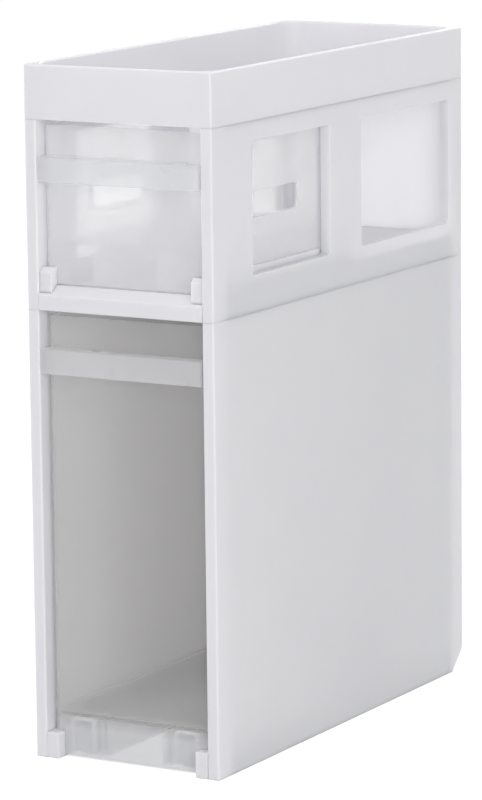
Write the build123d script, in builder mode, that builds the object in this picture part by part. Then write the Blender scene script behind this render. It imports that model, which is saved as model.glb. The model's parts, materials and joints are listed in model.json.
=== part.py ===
"""Slim storage cabinet: a deep drawer, a windowed unit with a shallow drawer, and a tray on top.

Millimetres, +Z up, the front faces -Y, and the origin is the middle of the footprint on the floor.
"""
import os

from build123d import *

os.makedirs("parts", exist_ok=True)

# Envelope of the stack
width = 140.0
depth = 350.0
lower_height = 300.0
upper_height = 124.5
tray_height = 35.5
fit = 0.2            # gap left between pieces that are fitted together
cut_over = 5.0       # how far a cutter runs past the face it opens
seam_bevel = 0.5     # bevel that draws the parting lines between the units

# Side panels
wall = 3.0
post_width = 8.5
post_depth = 14.0
post_radius = 1.2
ledge_width = 5.0    # inner ledge that carries the unit above
ledge_height = 3.0
heel_depth = 16.0    # relief for a skirting board at the rear foot
heel_height = 15.5

# Side windows of the upper unit
window_lift = 24.0
window_height = 87.0
window_radius = 3.0
front_window_start = 51.5
front_window_length = 104.5
window_post = 44.0
rear_window_margin = 20.5
rim_reach = 7.0      # depth of the window rim from the outer face
rim_wall = 2.0

# Back panels, let into grooves of the rear posts
back_thickness = 3.0
groove_depth = 3.0
groove_inset = 4.0

# Pins that locate the units on each other
pin_width = 3.2
pin_breadth = 5.0    # along the depth of the cabinet
pin_length = 16.0
pin_fit = 0.1
pin_edge = 3.0       # pin axis from the outer face
pin_setback = 5.0    # pin axis from the inner end of the post

# Shelf between the units
bar_height = 9.8
sill_rise = 6.0
sill_depth = 8.0
shelf_plate = 2.5
shelf_rim = 3.0
shelf_bays = 4

# Rails that the drawers ride on, and the stops at their front ends
lower_rail_width = 14.5
lower_rail_height = 17.2
upper_runner_width = 14.5
upper_runner_height = 11.8
runner_nose = 2.0    # front of the upper runners behind the front plane
nose_bevel = 3.0
rail_wall = 2.5
rail_bays = 5
stop_setback = 34.0
stop_length = 4.0
stop_reach = 5.0
stop_lift = 3.0
stop_height = 8.0

# Tray
tray_wall = 3.5
tray_floor = 3.0
tray_corner = 17.0
tub_radius = 4.0
rim_bevel = 0.8

# Drawers
front_recess = 8.0
slide_gap = 1.0
ride_gap = 0.4
skirt_gap = 0.7
drawer_wall = 2.2
drawer_corner = 4.0
floor_thickness = 2.2
floor_radius = 1.6
head_gap = 4.0       # above the drawer walls
rib_gap = 2.7        # between the ribbed channels under the floor and the roller brackets
rib_channel = 6.6
rib_wall = 1.6
rib_rise = 1.0
tab_width = 6.0
tab_thickness = 2.5
lower_floor_lift = 12.0  # top of the floor above the running edge of the walls
lower_skirt_lift = 1.5
lower_rear_gap = 4.0
lower_finger_gap = 25.3  # above the grip strip
lower_keep = 60.0    # length behind the stop tabs, which stays inside the cabinet
upper_floor_lift = 16.5
upper_skirt_lift = 1.0
upper_drawer_length = 179.5
upper_finger_gap = 24.0
upper_keep = 28.0
hand_slot_length = 64.0
hand_slot_height = 17.0
hand_slot_radius = 5.0
hand_slot_lift = 14.5  # lower edge above the drawer floor

# Grip strips on the drawer fronts
grip_wall = 1.8
grip_height = 16.8
grip_gap = 1.2
grip_radius = 0.8

# Rollers under the front of the deep drawer
roller_radius = 9.0
roller_width = 12.0
roller_clear = 0.5   # left under the roller while the drawer is shut
roller_edge = 1.2
roller_side = 0.8    # between the roller and the bracket beside it
bracket_clear = 3.5  # between bracket and base rail
bracket_depth = 20.0
bracket_wall = 2.5
bracket_radius = 4.0
bracket_foot = 4.0
axle_radius = 1.5
axle_head_radius = 2.6
axle_head = 1.0
axle_fit = 0.06

# Planes and levels that the pieces share
outer_x = width / 2
wall_x = outer_x - wall
post_x = outer_x - post_width
front_y = -depth / 2
back_y = depth / 2
post_front = front_y + post_depth
post_back = back_y - post_depth
groove_x = post_x + groove_depth
groove_back = back_y - groove_inset
groove_front = groove_back - back_thickness - 2 * fit
upper_foot = lower_height
tray_foot = upper_foot + upper_height
top = tray_foot + tray_height
shelf_top = upper_foot + bar_height + sill_rise
pin_x = outer_x - pin_edge
pin_y = depth / 2 - post_depth + pin_setback
drawer_x = post_x - slide_gap
drawer_front = front_y + front_recess
lower_rail_x = wall_x - lower_rail_width
upper_runner_x = wall_x - upper_runner_width
lower_drawer_rear = groove_front - lower_rear_gap
upper_drawer_rear = drawer_front + upper_drawer_length
bracket_width = roller_width + 2 * (roller_side + bracket_wall)
bracket_x = lower_rail_x - bracket_clear - bracket_width / 2
rib_x = bracket_x - bracket_width / 2 - rib_gap - rib_channel / 2


def pin_sockets(x, level, facing):
    """Two sockets for locating pins in a face that looks up (+1) or down (-1)."""
    for y in (-pin_y, pin_y):
        with Locations(Plane((x, y, level), z_dir=(0, 0, facing))):
            Box(
                pin_width + 2 * pin_fit,
                pin_breadth + 2 * pin_fit,
                pin_length / 2 + fit,
                align=(Align.CENTER, Align.CENTER, Align.MAX),
                mode=Mode.SUBTRACT,
            )


def side_panel(foot, height):
    """Right-hand side panel: a thin wall between two posts, a back groove and a carrying ledge."""
    head = foot + height
    with BuildPart() as panel:
        with BuildSketch(Plane.XY.offset(foot)) as plan:
            with BuildLine():
                Polyline(
                    (outer_x, front_y),
                    (outer_x, back_y),
                    (post_x, back_y),
                    (post_x, groove_back),
                    (groove_x, groove_back),
                    (groove_x, groove_front),
                    (post_x, groove_front),
                    (post_x, post_back),
                    (wall_x, post_back),
                    (wall_x, post_front),
                    (post_x, post_front),
                    (post_x, front_y),
                    close=True,
                )
            make_face()
            ends = plan.vertices().group_by(Axis.Y)
            fillet(ends[0] + ends[-1], radius=post_radius)
        extrude(amount=height)
        long_edge = panel.edges().filter_by(Axis.Y).group_by(Axis.Z)[-1].sort_by(Axis.X)[-1]
        chamfer(long_edge, length=seam_bevel)
        with BuildSketch(Plane.XY.offset(head)):
            with Locations((wall_x - ledge_width / 2, 0)):
                Rectangle(ledge_width, post_back - post_front)
        extrude(amount=-ledge_height)
        pin_sockets(pin_x, head, 1)
    return panel.part


def mirrored(piece):
    """The left-hand twin of a right-hand piece."""
    with BuildPart() as twin:
        mirror(piece, about=Plane.YZ)
    return twin


def rail(inner_x, foot, profile):
    """Right-hand rail: a side profile extruded from inner_x to the wall, notched round the post."""
    with BuildPart() as strip:
        with BuildSketch(Plane.YZ.offset(inner_x)):
            with BuildLine():
                Polyline(*profile, close=True)
            make_face()
        extrude(amount=wall_x - fit - inner_x)
        with BuildSketch(Plane.XY.offset(foot - cut_over)):
            with Locations((post_x - fit, front_y - cut_over)):
                Rectangle(
                    post_width + cut_over,
                    post_depth + cut_over + fit,
                    align=(Align.MIN, Align.MIN),
                )
        extrude(amount=top, mode=Mode.SUBTRACT)
        with BuildSketch(Plane.YZ.offset(inner_x)):
            with Locations((front_y + stop_setback, foot + stop_lift)):
                Rectangle(stop_length, stop_height, align=(Align.MIN, Align.MIN))
        extrude(amount=-stop_reach)
    return strip.part


def drawer(foot, skirt_foot, floor_top, head, rear, rail_x, keep):
    """Drawer body: walls that ride on the rails, a raised ribbed floor, a front skirt, stop tabs."""
    length = rear - drawer_front
    middle = (rear + drawer_front) / 2
    floor_under = floor_top - floor_thickness
    rib_foot = skirt_foot + rib_rise
    tab_x = rail_x - skirt_gap - tab_width / 2
    tab_y = rear - keep + tab_thickness / 2
    inner_corner = drawer_corner - drawer_wall
    with BuildPart() as body:
        with BuildSketch(Plane.XY.offset(foot)):
            with Locations((0, middle)):
                RectangleRounded(2 * drawer_x, length, drawer_corner)
        extrude(amount=head - foot)
        with BuildSketch(Plane.XY.offset(floor_top)) as tub:
            with Locations((0, middle)):
                RectangleRounded(2 * (drawer_x - drawer_wall), length - 2 * drawer_wall, inner_corner)
        extrude(amount=head - floor_top, mode=Mode.SUBTRACT)
        fillet(body.edges().filter_by_position(Axis.Z, floor_top, floor_top), radius=floor_radius)
        add(tub.sketch.moved(Location((0, 0, foot - floor_top))))
        extrude(amount=floor_under - foot, mode=Mode.SUBTRACT)
        with BuildSketch(Plane.XY.offset(skirt_foot)):
            with Locations((0, drawer_front + drawer_wall / 2)):
                Rectangle(2 * (rail_x - skirt_gap), drawer_wall)
        extrude(amount=floor_under - skirt_foot)
        with BuildSketch(Plane.XY.offset(rib_foot)):
            with Locations((0, middle)):
                with GridLocations(2 * rib_x, 0, 2, 1):
                    with GridLocations(rib_channel - rib_wall, 0, 2, 1):
                        Rectangle(rib_wall, length - 2 * drawer_wall)
            with Locations((-tab_x, tab_y), (tab_x, tab_y)):
                Rectangle(tab_width, tab_thickness)
        extrude(amount=floor_under - rib_foot)
    return body


def grip(head):
    """Grip strip on a drawer front: a hanging lip, a web that joins it to the wall, and end cheeks."""
    half = post_x - grip_gap
    joint_half = drawer_x - drawer_corner
    foot = head - grip_height
    with BuildPart() as strip:
        with BuildSketch(Plane.YZ):
            with BuildLine():
                Polyline(
                    (front_y, foot),
                    (front_y, head),
                    (drawer_front - fit, head),
                    (drawer_front - fit, head - grip_wall),
                    (front_y + grip_wall, head - grip_wall),
                    (front_y + grip_wall, foot),
                    close=True,
                )
            make_face()
        extrude(amount=half, both=True)
        nose = strip.edges().filter_by(Axis.X).group_by(Axis.Y)[0]
        fillet(nose, radius=grip_radius)
        with BuildSketch(Plane.XY.offset(head)):
            with Locations((0, drawer_front)):
                Rectangle(2 * joint_half, fit, align=(Align.CENTER, Align.MAX))
        extrude(amount=-grip_wall)
        with BuildSketch(Plane.XY.offset(foot + grip_radius)):
            with Locations((0, (front_y + grip_wall + drawer_front - fit) / 2)):
                with GridLocations(2 * half - grip_wall, 0, 2, 1):
                    Rectangle(grip_wall, front_recess - fit - grip_wall)
        extrude(amount=grip_height - grip_wall - grip_radius)
    return strip


# Side panels of the lower unit, with the relief at the rear foot
with BuildPart() as lower_right_side:
    add(side_panel(0, lower_height))
    with BuildSketch(Plane.YZ):
        with BuildLine():
            Polyline((back_y - heel_depth, 0), (back_y, 0), (back_y, heel_height), close=True)
        make_face()
    extrude(amount=width, mode=Mode.SUBTRACT)

lower_left_side = mirrored(lower_right_side.part)

# Base rails, cored from below
with BuildPart() as lower_right_rail:
    rail_end = back_y - heel_depth
    add(
        rail(
            lower_rail_x,
            0,
            [
                (front_y, 0),
                (rail_end, 0),
                (rail_end, lower_rail_height),
                (front_y, lower_rail_height),
            ],
        )
    )
    bay = (rail_end - post_front - fit - rail_wall) / rail_bays
    with BuildSketch(Plane.XY):
        with Locations(((lower_rail_x + wall_x - fit) / 2, (rail_end + post_front + fit) / 2)):
            with GridLocations(0, bay, 1, rail_bays):
                Rectangle(lower_rail_width - fit - 2 * rail_wall, bay - rail_wall)
    extrude(amount=lower_rail_height - rail_wall, mode=Mode.SUBTRACT)

lower_left_rail = mirrored(lower_right_rail.part)

# Back panel of the lower unit
with BuildPart() as lower_back_panel:
    with BuildSketch(Plane.XZ.offset(-groove_back + fit)):
        with Locations((0, heel_height)):
            Rectangle(2 * (groove_x - fit), lower_height - heel_height, align=(Align.CENTER, Align.MIN))
    extrude(amount=back_thickness)

# Side panels of the upper unit, with two rimmed windows each
with BuildPart() as upper_right_side:
    add(side_panel(upper_foot, upper_height))
    pin_sockets(pin_x, upper_foot, -1)
    rear_window_start = front_window_start + front_window_length + window_post
    rear_window_length = depth - rear_window_margin - rear_window_start
    window_z = upper_foot + window_lift + window_height / 2
    windows = [
        (front_y + front_window_start + front_window_length / 2, front_window_length),
        (front_y + rear_window_start + rear_window_length / 2, rear_window_length),
    ]
    with BuildSketch(Plane.YZ.offset(outer_x)):
        for y, length in windows:
            with Locations((y, window_z)):
                RectangleRounded(
                    length + 2 * rim_wall,
                    window_height + 2 * rim_wall,
                    window_radius + rim_wall,
                )
    extrude(amount=-rim_reach)
    with BuildSketch(Plane.YZ.offset(outer_x + cut_over)):
        for y, length in windows:
            with Locations((y, window_z)):
                RectangleRounded(length, window_height, window_radius)
    extrude(amount=-rim_reach - 2 * cut_over, mode=Mode.SUBTRACT)

upper_left_side = mirrored(upper_right_side.part)

# Back panel of the upper unit
with BuildPart() as upper_back_panel:
    with BuildSketch(Plane.XZ.offset(-groove_back + fit)):
        with Locations((0, upper_foot)):
            Rectangle(2 * (groove_x - fit), upper_height, align=(Align.CENTER, Align.MIN))
    extrude(amount=back_thickness)

# Shelf: front bar and sloping sill between the posts, wings between the walls, bays cored from below
with BuildPart() as shelf:
    with BuildSketch(Plane.YZ):
        with BuildLine():
            Polyline(
                (front_y, upper_foot),
                (front_y, upper_foot + bar_height),
                (front_y + sill_depth, shelf_top),
                (groove_front, shelf_top),
                (groove_front, upper_foot),
                close=True,
            )
        make_face()
    extrude(amount=post_x - fit, both=True)
    with BuildSketch(Plane.XY.offset(upper_foot)):
        Rectangle(2 * (wall_x - fit), post_back - post_front - 2 * fit)
    extrude(amount=shelf_top - upper_foot)
    shelf_bay = (post_back - post_front - 2 * fit - shelf_rim) / shelf_bays
    with BuildSketch(Plane.XY.offset(upper_foot)):
        with GridLocations(0, shelf_bay, 1, shelf_bays):
            Rectangle(2 * (wall_x - fit - shelf_rim), shelf_bay - shelf_rim)
    extrude(amount=shelf_top - upper_foot - shelf_plate, mode=Mode.SUBTRACT)

# Runners of the upper drawer: a nose on the sill and a foot that passes under the window rims
with BuildPart() as upper_right_runner:
    sill_slope = sill_rise / sill_depth
    runner_head = shelf_top + upper_runner_height
    nose_y = front_y + runner_nose
    add(
        rail(
            upper_runner_x,
            shelf_top,
            [
                (nose_y, upper_foot + bar_height + runner_nose * sill_slope),
                (front_y + sill_depth, shelf_top),
                (upper_drawer_rear, shelf_top),
                (upper_drawer_rear, runner_head),
                (nose_y + nose_bevel, runner_head),
                (nose_y, runner_head - nose_bevel),
            ],
        )
    )
    with BuildSketch(Plane.YZ.offset(post_x - fit)):
        with Locations((front_y, upper_foot + window_lift - rim_wall - fit)):
            Rectangle(depth, upper_runner_height, align=(Align.MIN, Align.MIN))
    extrude(amount=width, mode=Mode.SUBTRACT)

upper_left_runner = mirrored(upper_right_runner.part)

# Open tray with a flat rim, rounded inner corners and sockets for the pins
with BuildPart() as top_tray:
    with BuildSketch(Plane.XY.offset(tray_foot)):
        RectangleRounded(width, depth, post_radius)
    extrude(amount=tray_height)
    with BuildSketch(Plane.XY.offset(tray_foot + tray_floor)):
        RectangleRounded(width - 2 * tray_wall, depth - 2 * tray_wall, tray_corner)
    extrude(amount=tray_height - tray_floor, mode=Mode.SUBTRACT)
    tub_floor = tray_foot + tray_floor
    fillet(top_tray.edges().filter_by_position(Axis.Z, tub_floor, tub_floor), radius=tub_radius)
    rim = top_tray.faces().filter_by(Axis.Z).sort_by(Axis.Z)[-1]
    chamfer(rim.edges(), length=rim_bevel)
    for x in (-pin_x, pin_x):
        pin_sockets(x, tray_foot, -1)


def pins(level):
    """The four locating pins at one parting line."""
    with BuildPart() as group:
        with BuildSketch(Plane.XY.offset(level - pin_length / 2)):
            with GridLocations(2 * pin_x, 2 * pin_y, 2, 2):
                Rectangle(pin_width, pin_breadth)
        extrude(amount=pin_length)
    return group


mid_stack_pins = pins(upper_foot)
tray_stack_pins = pins(tray_foot)

# Drawers and their grip strips
lower_drawer_foot = lower_rail_height + ride_gap
lower_floor = lower_drawer_foot + lower_floor_lift
lower_drawer = drawer(
    foot=lower_drawer_foot,
    skirt_foot=lower_skirt_lift,
    floor_top=lower_floor,
    head=lower_height - head_gap,
    rear=lower_drawer_rear,
    rail_x=lower_rail_x,
    keep=lower_keep,
)
lower_handle = grip(lower_height - lower_finger_gap)

upper_drawer_foot = shelf_top + upper_runner_height + ride_gap
upper_floor = upper_drawer_foot + upper_floor_lift
with BuildPart() as upper_drawer:
    shallow_body = drawer(
        foot=upper_drawer_foot,
        skirt_foot=shelf_top + upper_skirt_lift,
        floor_top=upper_floor,
        head=tray_foot - head_gap,
        rear=upper_drawer_rear,
        rail_x=upper_runner_x,
        keep=upper_keep,
    )
    add(shallow_body.part)
    with BuildSketch(Plane.YZ):
        with Locations((drawer_front + upper_drawer_length / 2, upper_floor + hand_slot_lift)):
            RectangleRounded(
                hand_slot_length,
                hand_slot_height,
                hand_slot_radius,
                align=(Align.CENTER, Align.MIN),
            )
    extrude(amount=width, both=True, mode=Mode.SUBTRACT)
upper_handle = grip(tray_foot - upper_finger_gap)

# Roller brackets: arches under the floor of the deep drawer, bored for the axle
bracket_head = lower_floor - floor_thickness
bracket_front = drawer_front + drawer_wall + fit
axle_y = bracket_front + bracket_depth / 2
axle_z = roller_radius + roller_clear
with BuildPart() as right_roller_bracket:
    with BuildSketch(Plane.XZ.offset(-bracket_front)) as arch:
        with Locations((bracket_x, bracket_head)):
            Rectangle(bracket_width, bracket_head - bracket_foot, align=(Align.CENTER, Align.MAX))
        fillet(arch.vertices().group_by(Axis.Y)[-1], radius=bracket_radius)
        with BuildSketch(Plane.XZ.offset(-bracket_front), mode=Mode.SUBTRACT) as mouth:
            with Locations((bracket_x, bracket_foot)):
                Rectangle(
                    bracket_width - 2 * bracket_wall,
                    bracket_head - bracket_foot - bracket_wall,
                    align=(Align.CENTER, Align.MIN),
                )
            fillet(mouth.vertices().group_by(Axis.Y)[-1], radius=bracket_radius - bracket_wall)
    extrude(amount=-bracket_depth)
    with Locations(Plane((bracket_x, axle_y, axle_z), z_dir=(1, 0, 0))):
        Cylinder(axle_radius + axle_fit, bracket_width + cut_over, mode=Mode.SUBTRACT)

left_roller_bracket = mirrored(right_roller_bracket.part)

# Rollers: a turned profile with a bevelled rim
with BuildPart() as right_roller:
    with BuildSketch(Plane.XZ.offset(-axle_y)) as half_section:
        with Locations((bracket_x, axle_z + axle_radius + axle_fit)):
            Rectangle(
                roller_width,
                roller_radius - axle_radius - axle_fit,
                align=(Align.CENTER, Align.MIN),
            )
        chamfer(half_section.vertices().group_by(Axis.Y)[-1], length=roller_edge)
    revolve(axis=Axis((bracket_x, axle_y, axle_z), (1, 0, 0)))

left_roller = mirrored(right_roller.part)

# Axles: one headed pin through each bracket
with BuildPart() as right_axle:
    with Locations(Plane((bracket_x, axle_y, axle_z), z_dir=(1, 0, 0))):
        Cylinder(axle_radius, bracket_width + 2 * fit)
    with Locations(Plane((bracket_x + bracket_width / 2 + fit, axle_y, axle_z), z_dir=(1, 0, 0))):
        Cylinder(axle_head_radius, axle_head, align=(Align.CENTER, Align.CENTER, Align.MIN))

with BuildPart() as roller_axles:
    add(right_axle.part)
    mirror(right_axle.part, about=Plane.YZ)

pieces = {
    "lower_left_side": lower_left_side,
    "lower_right_side": lower_right_side,
    "lower_left_rail": lower_left_rail,
    "lower_right_rail": lower_right_rail,
    "lower_back_panel": lower_back_panel,
    "upper_left_side": upper_left_side,
    "upper_right_side": upper_right_side,
    "upper_back_panel": upper_back_panel,
    "shelf": shelf,
    "upper_left_runner": upper_left_runner,
    "upper_right_runner": upper_right_runner,
    "top_tray": top_tray,
    "mid_stack_pins": mid_stack_pins,
    "tray_stack_pins": tray_stack_pins,
    "lower_drawer": lower_drawer,
    "lower_handle": lower_handle,
    "upper_drawer": upper_drawer,
    "upper_handle": upper_handle,
    "left_roller_bracket": left_roller_bracket,
    "right_roller_bracket": right_roller_bracket,
    "left_roller": left_roller,
    "right_roller": right_roller,
    "roller_axles": roller_axles,
}
for name, piece in pieces.items():
    piece.part.label = name
    export_step(piece.part, f"parts/{name}.step")
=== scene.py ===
import json
import math

import bpy
from mathutils import Matrix, Vector


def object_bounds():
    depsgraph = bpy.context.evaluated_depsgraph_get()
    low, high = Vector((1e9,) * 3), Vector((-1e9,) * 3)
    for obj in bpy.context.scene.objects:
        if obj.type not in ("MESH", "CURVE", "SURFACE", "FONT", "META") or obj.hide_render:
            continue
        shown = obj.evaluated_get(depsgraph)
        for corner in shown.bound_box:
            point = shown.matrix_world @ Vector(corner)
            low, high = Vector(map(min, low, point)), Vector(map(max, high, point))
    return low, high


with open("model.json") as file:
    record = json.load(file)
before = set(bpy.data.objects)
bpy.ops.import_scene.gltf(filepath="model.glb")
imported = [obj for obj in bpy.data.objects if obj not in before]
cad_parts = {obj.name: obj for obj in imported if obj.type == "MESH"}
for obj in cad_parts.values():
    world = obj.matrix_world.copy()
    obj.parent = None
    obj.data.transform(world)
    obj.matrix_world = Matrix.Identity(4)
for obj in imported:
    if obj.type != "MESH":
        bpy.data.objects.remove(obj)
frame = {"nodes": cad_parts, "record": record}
cad_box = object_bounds()
scene = bpy.context.scene
nodes = frame["nodes"]

# Lengths in metres, with the overall size from the CAD part
low_corner, high_corner = cad_box
width, depth = (high_corner - low_corner).xy
wall_margin = 0.021  # a side lets light in up to this far from the front and rear faces
post_margin = 0.011  # and hardly any nearer to them than this, in the corner posts
frosted_to = 0.020  # the base of the clear drawer is frosted up to this height
clear_from = 0.034  # its walls are clear from this height on
floor_side = 24.0
painted_shadow_margin_x = 0.003  # the painted shadow under the cabinet stays inside its sides
painted_shadow_margin_y = 0.009  # and inside its front and back
painted_shadow_lift = 0.0002  # and lies just above the floor

# Layers of a moulded surface, and the part of the noise range that they use
noise_low, noise_high = 0.3, 0.7
tone_layer = {"scale": 9.0, "detail": 4.0}
gloss_layer = {"scale": 55.0, "detail": 3.0}
wave_layer = {"scale": 14.0, "detail": 1.0}
wave_strength, wave_depth = 0.25, 0.0004
grain_strength, grain_detail = 0.35, 3.0
scatter_radius = (1.0, 0.97, 0.93)
even = (1, 1, 1)

# Facing values between which thin plastic turns more opaque: partly the longer way through the wall at a
# slant, partly a painted sheen for the stronger reflection at grazing angles
turn_start, turn_end = 0.4, 1.0

# Colour of the ground for the light that it throws back on the object
matte_ground = (0.82, 0.82, 0.82, 1)


# Node helpers
def new_tree(name):
    mat = bpy.data.materials.new(name)
    mat.use_nodes = True
    tree = mat.node_tree
    tree.nodes.clear()
    return mat, tree


def add(tree, kind, inputs=None, **props):
    node = tree.nodes.new(kind)
    for key, value in props.items():
        setattr(node, key, value)
    for key, value in (inputs or {}).items():
        if isinstance(value, bpy.types.NodeSocket):
            tree.links.new(value, node.inputs[key])
        else:
            node.inputs[key].default_value = value
    return node


def object_coords(tree):
    return add(tree, "ShaderNodeTexCoord").outputs["Object"]


def along_axis(tree, axis):
    return add(tree, "ShaderNodeSeparateXYZ", {"Vector": object_coords(tree)}).outputs[axis]


def noise(tree, coords, scale, detail, stretch=even):
    mapped = add(tree, "ShaderNodeMapping", {"Vector": coords, "Scale": stretch})
    settings = {"Vector": mapped.outputs[0], "Scale": scale, "Detail": detail}
    return add(tree, "ShaderNodeTexNoise", settings).outputs[0]


def ramp(tree, fac, low, high):
    node = add(tree, "ShaderNodeValToRGB", {"Fac": fac})
    first, last = node.color_ramp.elements
    first.position, last.position = noise_low, noise_high
    first.color, last.color = (*low, 1), (*high, 1)
    return node.outputs[0]


def remap(tree, value, from_min, from_max, to_min, to_max):
    node = add(tree, "ShaderNodeMapRange", {"Value": value, "From Min": from_min, "From Max": from_max,
                                            "To Min": to_min, "To Max": to_max})
    return node.outputs[0]


def principled(mat):
    return next(node for node in mat.node_tree.nodes if node.type == "BSDF_PRINCIPLED")


# Materials
def moulded(name, low, high, rough, grain, grain_depth, stretch=even, **sockets):
    """Plastic or drawn steel: a slow drift of tone, uneven gloss, a faint wave and a fine grain."""
    mat, tree = new_tree(name)
    coords = object_coords(tree)
    fine = add(tree, "ShaderNodeBump", {
        "Strength": grain_strength, "Distance": grain_depth,
        "Height": noise(tree, coords, grain, grain_detail),
    })
    wavy = add(tree, "ShaderNodeBump", {
        "Strength": wave_strength, "Distance": wave_depth, "Normal": fine.outputs[0],
        "Height": noise(tree, coords, **wave_layer, stretch=stretch),
    })
    gloss = noise(tree, coords, **gloss_layer, stretch=stretch)
    bsdf = add(tree, "ShaderNodeBsdfPrincipled", {
        "Base Color": ramp(tree, noise(tree, coords, **tone_layer, stretch=stretch), low, high),
        "Roughness": remap(tree, gloss, noise_low, noise_high, *rough),
        "Normal": wavy.outputs[0],
    })
    for key, value in sockets.items():
        bsdf.inputs[key.replace("_", " ")].default_value = value
    bsdf.inputs["Subsurface Radius"].default_value = scatter_radius
    add(tree, "ShaderNodeOutputMaterial", {"Surface": bsdf.outputs[0]})
    return mat


def let_light_in(mat, thin, thick):
    """Scattering depth of the side panels: thin walls glow through, the corner posts hardly do."""
    tree = mat.node_tree
    reach = add(tree, "ShaderNodeMath", {0: along_axis(tree, "Y")}, operation="ABSOLUTE").outputs[0]
    scale = remap(tree, reach, depth / 2 - wall_margin, depth / 2 - post_margin, thin, thick)
    tree.links.new(scale, principled(mat).inputs["Subsurface Scale"])


def see_through(mat, face_on, edge_on):
    """Opacity of thin plastic: low where it is seen face on, higher where it turns away from the view. The
    rise is partly the longer way through the wall, partly a painted sheen for the stronger reflection at
    grazing angles.
    """
    tree = mat.node_tree
    turn = add(tree, "ShaderNodeLayerWeight", {"Blend": 0.5}).outputs["Facing"]
    alpha = remap(tree, turn, turn_start, turn_end, face_on, edge_on)
    tree.links.new(alpha, principled(mat).inputs["Alpha"])


def frosted_below(mat, frosted, clear, tint):
    """Frosts the ribbed base of a clear drawer and tints its walls. Gives the opacity at each height."""
    tree = mat.node_tree
    wall = remap(tree, along_axis(tree, "Z"), frosted_to, clear_from, 0.0, 1.0)
    colour_input = principled(mat).inputs["Base Color"]
    drift = colour_input.links[0].from_socket
    colour = add(tree, "ShaderNodeMixRGB", {"Fac": wall, "Color1": drift, "Color2": (*tint, 1)}).outputs[0]
    tree.links.new(colour, colour_input)
    return remap(tree, wall, 0.0, 1.0, frosted, clear)


white = {"low": (0.83, 0.825, 0.85), "high": (0.86, 0.855, 0.875), "rough": (0.36, 0.48),
         "grain": 1500.0, "grain_depth": 0.00004, "Subsurface_Weight": 1.0}
shell = moulded("white_moulded_plastic", **white, Subsurface_Scale=0.002)
panel = moulded("white_thin_panel", **white)
let_light_in(panel, thin=0.009, thick=0.002)
back = moulded("white_back_panel", **white, Subsurface_Scale=0.010)

# Milky drawer plastic. Its emission strength is a painted glow that stands in for light coming in through
# the drawer's walls.
milky = moulded("milky_plastic_with_painted_glow", low=(0.92, 0.92, 0.94), high=(0.955, 0.955, 0.97),
                rough=(0.28, 0.40), grain=900.0, grain_depth=0.00003,
                Subsurface_Weight=1.0, Subsurface_Scale=0.007, Emission_Strength=0.044)
see_through(milky, face_on=0.37, edge_on=0.65)

pale = {"low": (0.84, 0.845, 0.86), "high": (0.89, 0.895, 0.91)}
frosted = moulded("frosted_plastic", **pale, rough=(0.25, 0.38), grain=900.0, grain_depth=0.00003)
see_through(frosted, face_on=0.34, edge_on=0.60)
clear = moulded("clear_plastic", **pale, rough=(0.10, 0.20), grain=500.0, grain_depth=0.00002,
                stretch=(1, 1, 0.25))
clear_alpha = frosted_below(clear, frosted=0.50, clear=0.14, tint=(0.85, 0.84, 0.825))
see_through(clear, face_on=clear_alpha, edge_on=0.60)

wheel = moulded("roller_plastic", low=(0.70, 0.70, 0.71), high=(0.76, 0.76, 0.77), rough=(0.40, 0.55),
                grain=1800.0, grain_depth=0.00005)
steel = moulded("axle_steel", low=(0.50, 0.50, 0.51), high=(0.60, 0.60, 0.61), rough=(0.22, 0.38),
                grain=2500.0, grain_depth=0.00002, stretch=(0.1, 1, 1), Metallic=1.0)

# Each piece takes the finish of its slot, or of its kind where the name tells one
finish_of_slot = {"white_shell": shell, "milky_drawer": milky, "clear_drawer": clear,
                  "roller": wheel, "axle": steel}
finish_of_kind = {"_side": panel, "_back_panel": back, "_handle": frosted, "_bracket": shell}
for sub in frame["record"]["subparts"]:
    name = sub["node"]
    finish = finish_of_slot[sub["material_slot"]]
    for kind, special in finish_of_kind.items():
        if name.endswith(kind):
            finish = special
    mesh = nodes[name].data
    mesh.materials.clear()
    mesh.materials.append(finish)


# Ground and light
def seen_directly(tree):
    """One for camera, glossy and transmitted rays, zero for the diffuse light that falls on the object."""
    path = add(tree, "ShaderNodeLightPath").outputs
    seen = path["Is Camera Ray"]
    for kind in ("Is Glossy Ray", "Is Transmission Ray"):
        seen = add(tree, "ShaderNodeMath", {0: seen, 1: path[kind]}, operation="MAXIMUM").outputs[0]
    return seen


def either(tree, lit, seen):
    """The shader that lights the object, or the one that is seen directly."""
    shaders = {"Fac": seen_directly(tree), 1: lit.outputs[0], 2: seen.outputs[0]}
    return add(tree, "ShaderNodeMixShader", shaders).outputs[0]


def ground(name, size, height, shade, glow):
    """A pale matte ground. Seen directly it is a steady glow and a darker matte that keeps the shadow."""
    bpy.ops.mesh.primitive_plane_add(size=1, location=(0, 0, height))
    plane = bpy.context.object
    plane.name = name
    plane.scale = (*size, 1)
    mat, tree = new_tree(name)
    lit = add(tree, "ShaderNodeBsdfDiffuse", {"Color": matte_ground})
    shadow = add(tree, "ShaderNodeBsdfDiffuse", {"Color": (shade, shade, shade, 1)})
    light = add(tree, "ShaderNodeEmission", {"Color": (1, 1, 1, 1), "Strength": glow})
    seen = add(tree, "ShaderNodeAddShader", {0: shadow.outputs[0], 1: light.outputs[0]})
    add(tree, "ShaderNodeOutputMaterial", {"Surface": either(tree, lit, seen)})
    plane.data.materials.append(mat)


ground("floor", size=(floor_side, floor_side), height=0.0, shade=0.36, glow=0.86)
# Under the cabinet lies a darker sheet with a weaker glow: a painted shadow where the floor is in the
# cabinet's shade.
painted_shadow_size = (width - 2 * painted_shadow_margin_x, depth - 2 * painted_shadow_margin_y)
ground("painted_shadow_under_cabinet", size=painted_shadow_size, height=painted_shadow_lift, shade=0.30, glow=0.62)

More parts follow.
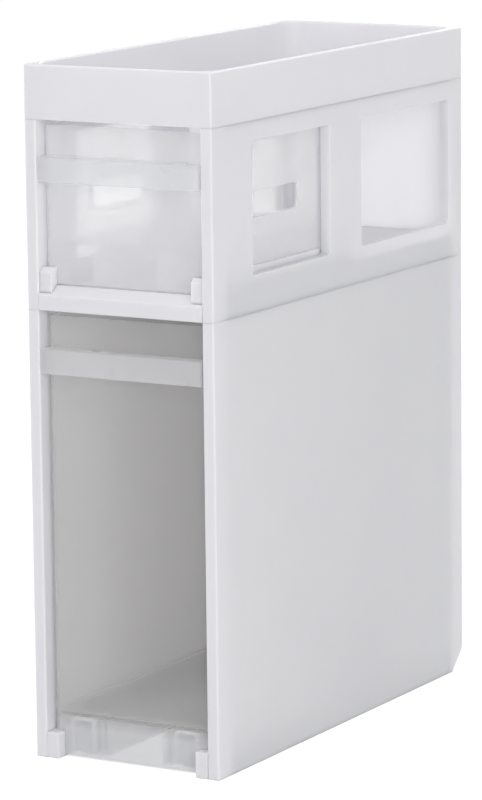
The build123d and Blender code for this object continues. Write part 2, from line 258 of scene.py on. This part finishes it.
world = bpy.data.worlds.new("studio")
scene.world = world
world.use_nodes = True
sky = world.node_tree
sky.nodes.clear()
ambient = add(sky, "ShaderNodeBackground", {"Color": (0.97, 0.97, 1.0, 1), "Strength": 0.40})
backdrop = add(sky, "ShaderNodeBackground", {"Color": (1, 1, 1, 1), "Strength": 1.0})
add(sky, "ShaderNodeOutputWorld", {"Surface": either(sky, ambient, backdrop)})


def softbox(name, place, aim_height, side, watts):
    """A square lamp that points at the cabinet's middle line."""
    data = bpy.data.lights.new(name, "AREA")
    data.shape = "SQUARE"
    data.size = side
    data.energy = watts
    lamp = bpy.data.objects.new(name, data)
    scene.collection.objects.link(lamp)
    lamp.location = place
    aim = Vector((0, 0, aim_height)) - Vector(place)
    lamp.rotation_euler = aim.to_track_quat("-Z", "Y").to_euler()


softbox("left", place=(-2.2, -0.3, 0.9), aim_height=0.3, side=1.4, watts=17.0)
softbox("behind", place=(-0.3, 2.4, 0.9), aim_height=0.35, side=1.4, watts=31.0)
softbox("right", place=(2.2, -2.0, 0.95), aim_height=0.15, side=1.6, watts=31.0)
softbox("above_right", place=(2.0, -0.6, 2.4), aim_height=0.3, side=1.4, watts=4.5)
softbox("above_front", place=(-0.7, -2.0, 2.6), aim_height=0.3, side=1.4, watts=15.5)
softbox("above", place=(0.0, 0.2, 3.0), aim_height=0.4, side=1.6, watts=8.0)

# Camera at the photograph's place
camera_place = (1.4096, -2.4774, 0.7255)
yaw, pitch, roll = (math.radians(angle) for angle in (29.828, 10.108, -0.640))
turn_to_yaw = Matrix.Rotation(yaw, 4, "Z")
tilt = Matrix.Rotation(math.pi / 2 - pitch, 4, "X")
lean = Matrix.Rotation(roll, 4, "Z")
optics = bpy.data.cameras.new("camera")
optics.sensor_width = 36.0
optics.lens = 191.0
optics.clip_end = 40.0
camera = bpy.data.objects.new("camera", optics)
scene.collection.objects.link(camera)
scene.camera = camera
camera.matrix_world = Matrix.Translation(camera_place) @ turn_to_yaw @ tilt @ lean

scene.view_settings.view_transform = "Standard"
scene.cycles.max_bounces = 16
scene.cycles.diffuse_bounces = 12
scene.cycles.transparent_max_bounces = 24
